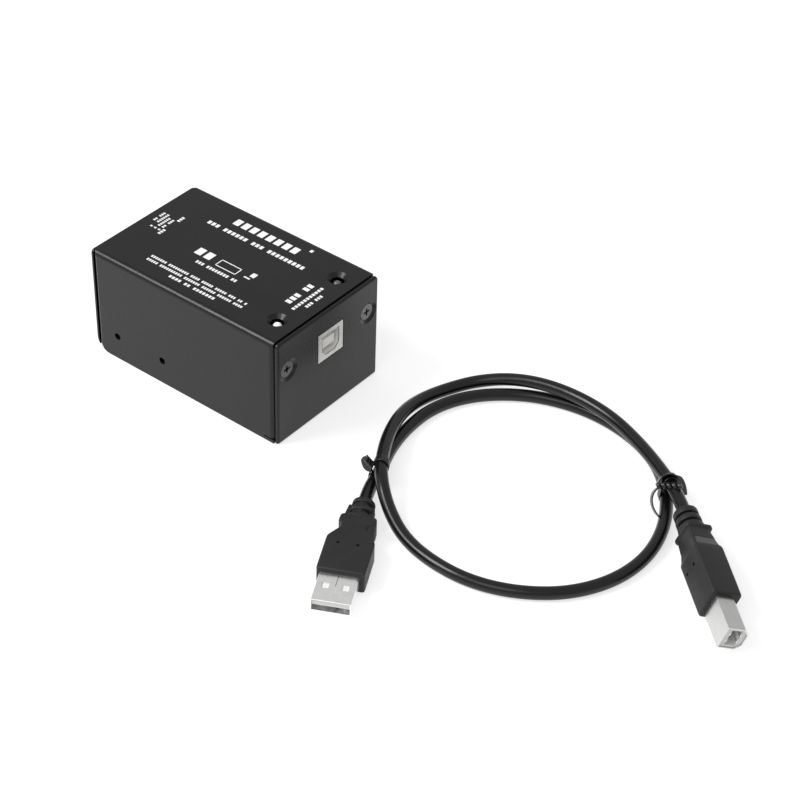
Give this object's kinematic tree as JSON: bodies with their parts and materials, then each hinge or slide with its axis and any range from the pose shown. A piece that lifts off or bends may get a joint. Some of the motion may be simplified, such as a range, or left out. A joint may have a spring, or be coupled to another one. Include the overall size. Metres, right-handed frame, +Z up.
{
  "type": "usb lighting interface",
  "caption": "Small folded sheet-metal box that turns a USB port into a stage-lighting output, with its tied USB lead lying beside it.",
  "frame": {"origin": "middle of the box's underside, on the surface that the box and its lead lie on", "axes": "+Z up, -Y out of the USB end panel, +Y out of the output end panel, -X out of the long side with the two tapped holes"},
  "size_m": [0.1291, 0.2424, 0.04],
  "materials": {
    "cover_paint": "satin black powder coat",
    "tray_paint": "satin black powder coat",
    "screw_zinc": "dark plated",
    "board_resist": "solder resist",
    "socket_steel": "nickel plated",
    "socket_plastic": "ivory",
    "contact_metal": "gold flash",
    "lamp_clear": "clear resin",
    "chip_plastic": "moulded",
    "opto_plastic": "moulded",
    "converter_plastic": "potted",
    "crystal_can": "drawn can",
    "capacitor_can": "sleeved can",
    "capacitor_ceramic": "tan",
    "resistor_ceramic": "black glaze",
    "fuse_plastic": "moulded",
    "lead_tin": "tinned",
    "connector_plastic": "moulded",
    "latch_steel": "nickel plated",
    "spring_steel": "bright wire",
    "cord_vinyl": "satin vinyl jacket",
    "plug_vinyl": "moulded vinyl",
    "plug_steel": "nickel plated",
    "tongue_plastic": "moulded",
    "insert_plastic": "moulded",
    "tie_vinyl": "coated wire"
  },
  "bodies": {
    "box": {"cover_shell": "cover_paint", "base_tray": "tray_paint", "near_panel_screws": "screw_zinc", "far_panel_screws": "screw_zinc", "circuit_board": "board_resist", "usb_socket_shell": "socket_steel", "usb_socket_body": "socket_plastic", "usb_socket_contacts": "contact_metal", "power_lamp": "lamp_clear", "data_lamp": "lamp_clear", "usb_controller": "chip_plastic", "line_driver": "chip_plastic", "optocouplers": "opto_plastic", "isolation_converter": "converter_plastic", "clock_crystal": "crystal_can", "electrolytic_capacitors": "capacitor_can", "ceramic_capacitors": "capacitor_ceramic", "chip_resistors": "resistor_ceramic", "resettable_fuse": "fuse_plastic", "chip_legs": "lead_tin", "xlr_housing": "connector_plastic", "xlr_insert": "connector_plastic", "xlr_contacts": "contact_metal", "latch_spring": "spring_steel", "xlr_screws": "screw_zinc"},
    "latch": {"xlr_latch": "latch_steel"},
    "lead": {"usb_cord": "cord_vinyl", "flat_plug_body": "plug_vinyl", "flat_plug_shell": "plug_steel", "flat_plug_tongue": "tongue_plastic", "flat_plug_contacts": "contact_metal", "square_plug_body": "plug_vinyl", "square_plug_shell": "plug_steel", "square_plug_insert": "insert_plastic", "square_plug_contacts": "contact_metal", "left_tie": "tie_vinyl", "right_tie": "tie_vinyl"}
  },
  "joints": [
    {"name": "latch_press", "type": "slide", "parent": "box", "child": "latch", "axis": [0, -1, 0], "range_m": [0, 0.0015], "stiffness_N_per_m": 900, "springref_m": -0.001, "deforming": ["latch_spring"]},
    {"name": "lead_lift", "type": "slide", "parent": "box", "child": "lead", "axis": [0, 0, 1], "range_m": [0, 0.05]}
  ]
}
